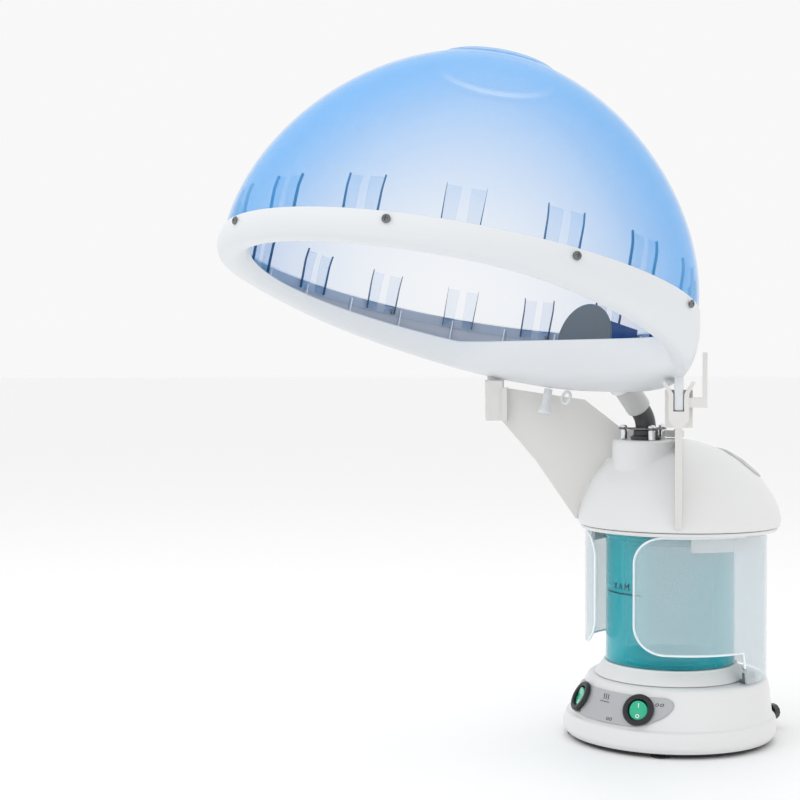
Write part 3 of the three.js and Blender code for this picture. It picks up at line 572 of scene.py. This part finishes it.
letters, letter_faces = lettering("MAX", 8.5)
wrapped = []
for x, y, _ in letters:
    a = math.radians(-4) + (-x) / 57.9
    wrapped.append((57.95 * math.sin(a), TANK_Y - 57.95 * math.cos(a), 135.8 + y))
line_rows = []
for k in range(41):
    a = math.radians(-26 + 44 * k / 40)
    line_rows.append([(r * math.sin(a), TANK_Y - r * math.cos(a), z)
                      for r, z in ((57.8, 132.0), (58.2, 132.0), (58.2, 132.9), (57.8, 132.9))])
level_parts = [(wrapped, letter_faces), shell(line_rows, caps=True)]
level = make("level_line", *joined("level", level_parts), LEVEL_INK, sharp=60)
attach(level, "base", "level_ink", "level_mark")
wearing("tank_gasket", GASKET, 0.2)

# Clear guard: a rounded wing each side of the front, and a full-height back.
GUARD_R = 80.0


def guard_limits(a):
    """Lowest and highest z of the guard's wall at an azimuth from the front."""
    gap = math.degrees(math.asin(24.5 / 81))
    arc = abs(a) - gap
    if arc < 0:
        return None
    along = math.radians(arc) * 81 * 0.86
    low, high = 85.0, 185.8
    corner = 24.0
    if along < corner:
        rise = corner - math.sqrt(max(corner ** 2 - (corner - along) ** 2, 0))
        low, high = low + rise, high - rise
    if abs(a) > 90:
        blend = min((abs(a) - 90) / 4, 1)
        low = 85 - (85 - 57.2) * (blend * blend * (3 - 2 * blend))
    return low, high


gap = math.degrees(math.asin(24.5 / 81))
angles = [gap + 0.02 + 26 * (k / 26) ** 1.6 for k in range(27)]
angles += [angles[-1] + (90 - angles[-1]) * k / 24 for k in range(1, 25)]
angles += [90 + 4 * k / 8 for k in range(1, 9)] + [94 + 86 * k / 30 for k in range(1, 31)]
angles = angles + [360 - a for a in reversed(angles[:-1])]
rows = []
edge_low, edge_high = [], []
for a in angles:
    low, high = guard_limits(a if a <= 180 else a - 360)
    w = math.radians(a)
    column = []
    for k in range(17):
        z = low + (high - low) * k / 16
        column.append((81 * math.sin(w), GUARD_Y - 81 * math.cos(w), z))
    for k in reversed(range(17)):
        z = low + (high - low) * k / 16
        column.append((79 * math.sin(w), GUARD_Y - 79 * math.cos(w), z))
    rows.append(column)
    edge_low.append((GUARD_R * math.sin(w), GUARD_Y - GUARD_R * math.cos(w), low))
    edge_high.append((GUARD_R * math.sin(w), GUARD_Y - GUARD_R * math.cos(w), high))
guard = make("guard_wall", *shell(rows, caps=True), GUARD, sharp=50)
attach(guard, "base", "guard_clear", "tank_guard")
# The cut edge of the clear wall catches the light: the pale opaque tube along it is a painted highlight.
rim_path = edge_high[:55][::-1] + edge_low[:55]
rim_highlights = []
for half in (1, -1):
    path = [(half * x, y, z) for x, y, z in rim_path]
    rim_highlights.append(tube(path, 1.05, 10))
attach(make("guard_rim_painted_highlight", *joined("rim", rim_highlights), GUARD_EDGE_HIGHLIGHT, sharp=80), "base", "guard_clear")
for side in ("left", "right"):
    wearing(f"guard_clip_{side}", CLIP, 0.5)
wearing("cord_gland", BEZEL_BLACK, 0.4)
wearing("heater_block", ALUMINIUM, 0.5)
wearing("thermostat", THERMO, 0.4)
wearing("circuit_board", BOARD, 0.2)
wearing("transformer", IRON, 0.8)

# --------------------------------------------------------------------------- head

ring_profile = rounded([(50, 186.7), (86.6, 186.7, 1), (88, 188, 1), (88, 190.1, 0.4), (50, 190.1)], 0.5)
parts = [revolved(ring_profile, 160)]
parts.append(revolved(rounded([(50, 176), (53.8, 176), (53.8, 187), (50, 187)], 0.6), 96, y=TANK_Y))
rows = []
for k in range(97):
    a = math.radians(54 + 252 * k / 96)
    rows.append([(r * math.sin(a), GUARD_Y - r * math.cos(a), z)
                 for r, z in ((73.5, 173), (76.5, 173), (76.5, 187), (73.5, 187))])
parts.append(shell(rows, caps=True))
attach(make("head_rim", *joined("rim", parts), WHITE), "head", "casing_white", "head_ring")

head_rings = [(86.8, 190.5, 0), (89.4, 190.5, 0), (90.1, 190.9, 0)]
head_rings += flowing([(90.3, 192, 0)] + HEAD[1:-1] + [(0, 269, -10)], 10)
dome_part = make("cover_dome", *stacked(head_rings + [(0, 191.5, 0), (86.8, 191.5, 0)], 160, closed=True),
                 WHITE)
boss_part = make("cover_boss", *revolved(rounded(
    [(0, 200), (29.5, 200), (29.5, 268, 1.4), (0, 268)], 1.4), 128, y=BOSS_Y), WHITE)
boolean(dome_part, [boss_part], "UNION")
remesh = dome_part.modifiers.new("even", "REMESH")
remesh.mode = "VOXEL"
remesh.voxel_size = 1.0 * MM
soften = dome_part.modifiers.new("soften", "SMOOTH")
soften.factor = 0.5
soften.iterations = 14
dg = bpy.context.evaluated_depsgraph_get()
cover_data = bpy.data.meshes.new_from_object(dome_part.evaluated_get(dg))
dome_part.modifiers.clear()
dome_part.data = cover_data
cover_data.materials.clear()
cover_data.materials.append(WHITE)
cover_data.shade_smooth()
dome_part.name = "cover_shell"
attach(dome_part, "head", "casing_white", "head_cover")


def head_skin(azimuth, z, lift):
    """A point above the cover at an azimuth from the back, leaving the boss out."""
    for (r0, z0, y0), (r1, z1, y1) in zip(HEAD, HEAD[1:]):
        if z0 <= z <= z1:
            t = (z - z0) / (z1 - z0)
            slope = math.atan2(r0 - r1, z1 - z0)
            r = r0 + (r1 - r0) * t + lift * math.cos(slope)
            y = y0 + (y1 - y0) * t
            w = math.radians(azimuth)
            return (r * math.sin(w), y + r * math.cos(w), z + lift * math.sin(slope))
    return None


rows = []
half, steps_u, steps_v = 61.0, 60, 16
for i in range(steps_u + 1):
    u = -1 + 2 * i / steps_u
    squeeze = (1 - abs(u) ** 7) ** (1 / 2.5) if abs(u) < 1 else 0.02
    squeeze = max(squeeze, 0.02)
    mid_z, span = 247.0 - 1.5 * abs(u), 12.6
    outer_col, inner_col = [], []
    for k in range(steps_v + 1):
        v = -1 + 2 * k / steps_v
        z = mid_z + span * v * squeeze
        ease = (1 - max(abs(v), abs(u)) ** 10) * 1.0
        outer_col.append(head_skin(half * u, z, 0.9 + 1.0 * ease))
        inner_col.append(head_skin(half * u, z, 0.1))
    rows.append(outer_col + inner_col[::-1])
attach(make("grip_inset", *shell(rows, caps=True), GRIP, sharp=50), "head", "grip_grey", "rear_grip")

collar = revolved(rounded([
    (9.4, 268.2), (13.2, 268.2), (13.2, 271, 0.8), (10.8, 272.4, 0.8), (10.8, 276.6, 0.6),
    (9.4, 276.6)], 0.3),
    64, y=BOSS_Y)
attach(make("outlet_base", *collar, PIPE), "head", "pipe_grey", "outlet_collar")
wearing("flange_plate", STEEL, 0.35)
posts = [(20 * math.cos(math.radians(w)), BOSS_Y + 20 * math.sin(math.radians(w))) for w in (90, 210, 330)]


def screw_head(radius, z, height):
    """A domed head with a cross cut in it, standing on z."""
    profile = [(0, z), (radius, z), (radius, z + height * 0.35)]
    quarter = [k / 6 * math.pi / 2 for k in range(1, 6)]
    profile += [(radius * math.cos(w), z + height * (0.35 + 0.65 * math.sin(w))) for w in quarter]
    profile.append((0, z + height))
    return revolved(profile, 40)


def crossed(name, mat, place, radius, z, height, shank, shank_low):
    head_piece = make(name, *joined(name, [
        screw_head(radius, z, height),
        revolved([(0, shank_low), (shank, shank_low), (shank, z), (0, z)], 24)]), mat, place=place)
    cutters = [
        make(name + "_a", *block((-radius * 0.6, -radius * 0.13, z + height * 0.5),
                                 (radius * 0.6, radius * 0.13, z + height * 2), 0.02), mat, place=place),
        make(name + "_b", *block((-radius * 0.13, -radius * 0.6, z + height * 0.5),
                                 (radius * 0.13, radius * 0.6, z + height * 2), 0.02), mat, place=place)]
    return boolean(head_piece, cutters)


for i, (x, y) in enumerate(posts, 1):
    turned = rounded([(1.8, 268.2), (3.1, 268.2), (3.1, 276.9, 0.3), (1.8, 276.9)], 0.3)
    attach(make(f"post_{i}", *revolved(turned, 32, x, y), CHROME), "head", "post_chrome", f"outlet_post_{i}")
    place = DESIGN @ Matrix.Translation((x, y, 0)) @ Matrix.Rotation(math.radians(25 * i), 4, "Z")
    attach(crossed(f"post_screw_{i}", CHROME, place, 3.3, 279.0, 2.8, 1.5, 269),
           "head", "post_chrome", f"outlet_screw_{i}")
for i, x in enumerate((-8.5, 8.5), 1):
    place = DESIGN @ Matrix.Translation((x, -11.5, 0)) @ Matrix.Rotation(math.radians(40 * i), 4, "Z")
    attach(crossed(f"bar_screw_{i}", CHROME, place, 3.0, 276.0, 1.8, 1.5, 264),
           "head", "post_chrome", f"bridge_screw_{i}")

LEAN = math.radians(42)
BEND_END = Vector((0, BOSS_Y - 22 * (1 - math.cos(LEAN)), 278.4 + 22 * math.sin(LEAN)))
WAY = Vector((0, -math.sin(LEAN), math.cos(LEAN)))
path = [(0, BOSS_Y, 258), (0, BOSS_Y, 270), (0, BOSS_Y, 278.4)]
path += [(0, BOSS_Y - 22 * (1 - math.cos(LEAN * k / 14)), 278.4 + 22 * math.sin(LEAN * k / 14))
         for k in range(1, 15)]
path += [tuple(BEND_END + WAY * 8), tuple(BEND_END + WAY * 16)]
attach(make("outlet_elbow", *tube(path, 9.0, 64, inner=6.6), PIPE, sharp=50), "head", "pipe_grey",
       "steam_elbow")
sleeve_path = [BEND_END + WAY * t for t in (4, 4.5, 5.5, 8, 12, 18, 24, 29.5, 30.2, 30.6)]
sleeve_radii = [10.3, 10.7, 10.95, 11, 11, 11, 11, 11, 10.9, 10.6]
attach(make("soft_sleeve", *tube(sleeve_path, sleeve_radii, 64, inner=9.4), SLEEVE, sharp=50),
       "head", "sleeve_clear", "steam_sleeve")
for side in ("left", "right"):
    wearing(f"bracket_wing_{side}", CREAM, 0.7, 3)
wearing("bracket_bridge", CREAM, 0.8, 3)

# --------------------------------------------------------------------------- hood

DEPTH = [(0, 52), (16, 53), (30, 51), (47, 47), (60, 42), (75, 37), (90, 32), (105, 26.5),
         (120, 23.5), (180, 22)]
LIP = [(0, 25), (45, 25), (70, 21), (100, 17), (140, 12), (180, 11)]


def looked_up(table, value):
    for (x0, y0), (x1, y1) in zip(table, table[1:]):
        if value <= x1:
            return y0 + (y1 - y0) * (value - x0) / (x1 - x0)
    return table[-1][1]


def eased(table, value):
    """The table smoothed over a window, so the ring has no kinks."""
    total = 0.0
    for k in range(-6, 7):
        v = abs(value + k * 1.5)
        v = 360 - v if v > 180 else v
        total += looked_up(table, v)
    return total / 13


def ring_section(from_back):
    d, lip = eased(DEPTH, from_back), eased(LIP, from_back)
    straight = 110 / max(math.cos(math.radians(from_back)), 0.1)
    round_rim = 169.5
    # Smooth minimum of the round rim and the straight back edge.
    k = 4.0
    h = max(k - abs(round_rim - straight), 0) / k
    rim = min(round_rim, straight) - h * h * k * 0.25
    width = 186.5 - rim
    outer = [
        (193.5, 0), (194.5, -0.12 * d), (195.7, -0.3 * d), (195.9, -0.48 * d), (195.2, -0.66 * d),
        (193.2, -0.84 * d), (190.2, -0.95 * d), (185.8, -d),
        (rim + width * 0.72, -d + 0.02 * (d - lip)), (rim + width * 0.5, -d + 0.12 * (d - lip)),
        (rim + width * 0.30, -d + 0.36 * (d - lip)), (rim + width * 0.14, -d + 0.62 * (d - lip)),
        (rim + width * 0.04, -lip - 0.12 * (d - lip)), (rim, -lip - 0.3),
    ]
    lip_top = [(rim + 0.4, -lip + 0.6), (rim + 1.4, -lip + 1.0), (rim + 2.4, -lip + 0.5)]
    inner = [
        (rim + width * 0.15 + 2.2, -d + 0.62 * (d - lip) + 2.2),
        (rim + width * 0.5 + 1, -d + 0.12 * (d - lip) + 2.6),
        (185, -d + 2.7), (190, -0.9 * d + 1.2), (193.1, -0.6 * d), (191.6, -10), (191, 0),
    ]
    return flowing(outer, 2) + lip_top + flowing(inner, 2)


STEPS = 240
columns = []
for i in range(STEPS):
    w = 360 * i / STEPS
    from_back = min(abs(w - 90), 360 - abs(w - 90))
    section = ring_section(from_back)
    columns.append([(r * math.cos(math.radians(w)), r * math.sin(math.radians(w)), z) for r, z in section])
ring_rows = [[column[k] for column in columns] for k in range(len(columns[0]))]
ring_parts = [shell(ring_rows, wrap_rows=True)]
into_hood = HOOD.inverted() @ DESIGN
socket_path = [into_hood @ (BEND_END + WAY * t) for t in (31, 31.4, 32.4, 40, 48, 54, 55.4, 56)]
ring_parts.append(tube(socket_path, [13.0, 13.3, 13.5, 13.5, 13.5, 13.5, 13.3, 12.9], 56, inner=9.0))
for azimuth in (43.5, -43.5):
    a = math.radians(azimuth)
    turn = into_hood @ Matrix.Rotation(a, 4, "Z")
    ring_parts.append(placed(block((-3.6, -173.5, 297.6), (3.6, -161.5, 328), 0.8), turn))
hood_ring = make("hood_tray", *joined("ring", ring_parts), HOOD_WHITE, place=HOOD, sharp=55)
attach(hood_ring, "hood", "hood_white", "hood_ring")

# White ribs stand on the shaded inner wall of the tray.
ribs = []
for k in range(24):
    w = 7.5 + 15 * k
    from_back = min(abs(w - 90), 360 - abs(w - 90))
    d = eased(DEPTH, from_back)
    if from_back > 150:
        continue
    turn = Matrix.Rotation(math.radians(w), 4, "Z")
    ribs.append(placed(block((187.2, -0.55, -d + 4), (191.4, 0.55, -2.5), 0.2), turn))
attach(make("tray_ribs", *joined("ribs", ribs), RIB, place=HOOD), "hood", "hood_white")
wall_rows = []
for k in range(121):
    w = -62 + 304 * k / 120
    from_back = min(abs(w - 90), 360 - abs(w - 90))
    d = eased(DEPTH, from_back)
    c, s = math.cos(math.radians(w)), math.sin(math.radians(w))
    section = [(190.7, -1.2), (191.2, -9.6), (191.6, -0.5 * d),
               (190.8, -0.5 * d), (190.4, -9.6), (190.2, -1.2)]
    wall_rows.append([(r * c, r * s, z) for r, z in section])
attach(make("tray_wall", *shell(wall_rows, caps=True), TRAY, place=HOOD, sharp=60), "hood", "hood_white")

dome_curve = []
for k in range(40):
    z = 0.6 + (172.4 - 0.6) * (1 - (1 - k / 39) ** 1.15)
    dome_curve.append((191.8 * (1 - (z / 184) ** 1.75) ** (1 / 1.8), z))
crown = flowing([(53.4, 172.6), (52.6, 174.6), (50.9, 176.6), (47.5, 177.8), (38, 180.5), (24, 183.8),
                 (0, 186.4)], 5)
outer_curve = [(190.4, -9), (190.4, 0.3), (191.8, 0.5)] + dome_curve + crown[1:]
inner_curve = []
for i in range(len(outer_curve) - 1, 2, -1):
    a = Vector(outer_curve[min(i + 1, len(outer_curve) - 1)])
    b = Vector(outer_curve[i - 1])
    way = (a - b).normalized()
    r, z = outer_curve[i]
    inner_curve.append((max(r - 1.6 * way.y, 0.0), z - 1.6 * abs(way.x)))
inner_curve[0] = (0, 184.8)
profile = inner_curve + [(188.6, 0.4), (188.6, -9)] + outer_curve
attach(make("hood_bowl", *revolved(profile, 200), DOME, place=HOOD, sharp=40), "hood", "dome_blue",
       "hood_dome")

# Snap tabs on the dome's lower edge, each with a thin dark slab at one side that is painted shade for the gap
# beside the tab.
tabs, tab_gap_shades = [], []
for k in range(16):
    for shift in (-2.6, 2.6):
        w = 22.5 * k + 6 + shift
        turn = Matrix.Rotation(math.radians(w), 4, "Z")
        rows = []
        for j in range(9):
            z = -8 + 34 * j / 8
            r = min(188.2, 191.8 * (1 - (max(z, 0) / 184) ** 1.75) ** (1 / 1.8) - 1.8)
            width = 4.6 + 0.6 * j / 8
            rows.append([(r - 1.2, -width, z), (r, -width, z), (r, width, z), (r - 1.2, width, z)])
        tabs.append(placed(shell(rows, caps=True), turn))
        side = 1 if shift > 0 else -1
        rows = []
        for j in range(9):
            z = -8 + 36 * j / 8
            r = min(188.2, 191.8 * (1 - (max(z, 0) / 184) ** 1.75) ** (1 / 1.8) - 1.8)
            y = side * (5.0 + 0.7 * j / 8)
            t = 0.45 * (1 - 0.8 * j / 8)
            rows.append([(r - 2.4, y - t, z), (r, y - t, z), (r, y + t, z), (r - 2.4, y + t, z)])
        tab_gap_shades.append(placed(shell(rows, caps=True), turn))
attach(make("dome_tabs", *joined("tabs", tabs), TAB, place=HOOD, sharp=50), "hood", "dome_blue")
attach(make("dome_tab_gap_shades", *joined("edges", tab_gap_shades), TAB_GAP_SHADE, place=HOOD, sharp=50), "hood",
       "duct_navy")

for i, w in enumerate((25, 70, 115, 160, 210, 261, 306, 346), 1):
    place = HOOD @ Matrix.Rotation(math.radians(w), 4, "Z") @ Matrix.Translation((0, 0, -6))
    place = place @ Matrix.Rotation(math.radians(90), 4, "Y")
    attach(crossed(f"ring_screw_{i}", SCREW, place, 3.2, 196.2, 2.3, 1.4, 186), "hood", "screw_steel",
           f"hood_screw_{i}")

disc_top = []
for k in range(97):
    w = math.radians(-17.6 + 215.2 * k / 96)
    disc_top.append((33 * math.cos(w), max(-17 + 33 * math.sin(w), -27)))
rows = []
for inset, y in ((1.0, 143.0), (0.25, 143.2), (0, 143.7), (0, 144.8), (0.25, 145.2), (1.0, 145.4)):
    scale = (33 - inset) / 33
    rows.append([(x * scale, y, -17 + (z + 17) * scale) for x, z in disc_top])
disc = shell(rows, caps=True)
stem = block((-6, 145, -16), (6, 149.6, -6), 0.6)
attach(make("deflector_plate", *joined("deflector", [disc, stem]), SLATE, place=HOOD, sharp=35),
       "hood", "deflector_slate", "steam_deflector")
wearing("steam_duct", NAVY, 0.8, 3)

spout = rounded([(1.2, -76), (5, -76, 0.6), (6.4, -75, 0.5), (3.8, -68, 2), (3.8, -53.6), (1.2, -53.6)], 0.5)
attach(make("drain_nozzle", *revolved(spout, 48, -66, 172), HOOD_WHITE, place=HOOD), "hood", "hood_white",
       "drain_spout")
rows = []
for k in range(40):
    w = 2 * math.pi * k / 40
    centre = Vector((-45 + 5.2 * math.cos(w), 176, -60.4 + 5.2 * math.sin(w)))
    out = Vector((math.cos(w), 0, math.sin(w)))
    turns = [2 * math.pi * i / 16 for i in range(16)]
    rows.append([centre + out * (1.4 * math.cos(t)) + Vector((0, 1.4 * math.sin(t), 0)) for t in turns])
hook = make("hook_loop", *shell(rows, wrap_rows=True), HOOD_WHITE, place=HOOD, sharp=80)
attach(hook, "hood", "hood_white", "hanging_loop")

# ---------------------------------------------------------- floor, light and camera

floor_mesh = bpy.data.meshes.new("floor")
size = 60.0
corners = [(-size, -size, 0), (size, -size, 0), (size, size, 0), (-size, size, 0)]
floor_mesh.from_pydata(corners, [], [(0, 1, 2, 3)])
floor = bpy.data.objects.new("floor", floor_mesh)
bpy.context.collection.objects.link(floor)
floor_mat = bpy.data.materials.new("floor_pale")
floor_mat.use_nodes = True
floor_bsdf = floor_mat.node_tree.nodes["Principled BSDF"]
floor_bsdf.inputs["Base Color"].default_value = (0.96, 0.96, 0.96, 1)
floor_bsdf.inputs["Roughness"].default_value = 0.6
floor_mesh.materials.append(floor_mat)

world = bpy.data.worlds.new("studio")
world.use_nodes = True
world.node_tree.nodes["Background"].inputs["Color"].default_value = (1, 1, 1, 1)
world.node_tree.nodes["Background"].inputs["Strength"].default_value = 0.94
bpy.context.scene.world = world
bpy.context.scene.view_settings.view_transform = "Standard"


def area_light(name, at, aim, size, power):
    data = bpy.data.lights.new(name, "AREA")
    data.shape = "RECTANGLE"
    data.size, data.size_y = size
    data.energy = power
    lamp = bpy.data.objects.new(name, data)
    lamp.location = at
    lamp.rotation_mode = "QUATERNION"
    lamp.rotation_quaternion = (Vector(aim) - Vector(at)).to_track_quat("-Z", "Y")
    lamp.visible_glossy = False
    bpy.context.collection.objects.link(lamp)


area_light("key", (-0.3, -1.6, 1.9), (0, 0, 0.35), (1.2, 0.9), 9)
area_light("fill", (1.9, -0.3, 1.0), (0, 0, 0.3), (1.0, 1.2), 3)
area_light("top", (-0.2, 0.2, 2.2), (0, 0, 0.3), (1.2, 1.2), 4)

eye = Vector((0.9820, -1.0348 + SHIFT, 0.3298))
way = math.radians(53.7)
pitch = math.radians(-1.1)
look = Vector((-math.sin(way) * math.cos(pitch), math.cos(way) * math.cos(pitch), math.sin(pitch)))
camera_data = bpy.data.cameras.new("camera")
camera_data.lens = 69.75
camera_data.sensor_width = 36
camera = bpy.data.objects.new("camera", camera_data)
camera.location = eye
camera.rotation_mode = "QUATERNION"
camera.rotation_quaternion = look.to_track_quat("-Z", "Y")
bpy.context.collection.objects.link(camera)
bpy.context.scene.camera = camera

bpy.context.view_layer.update()
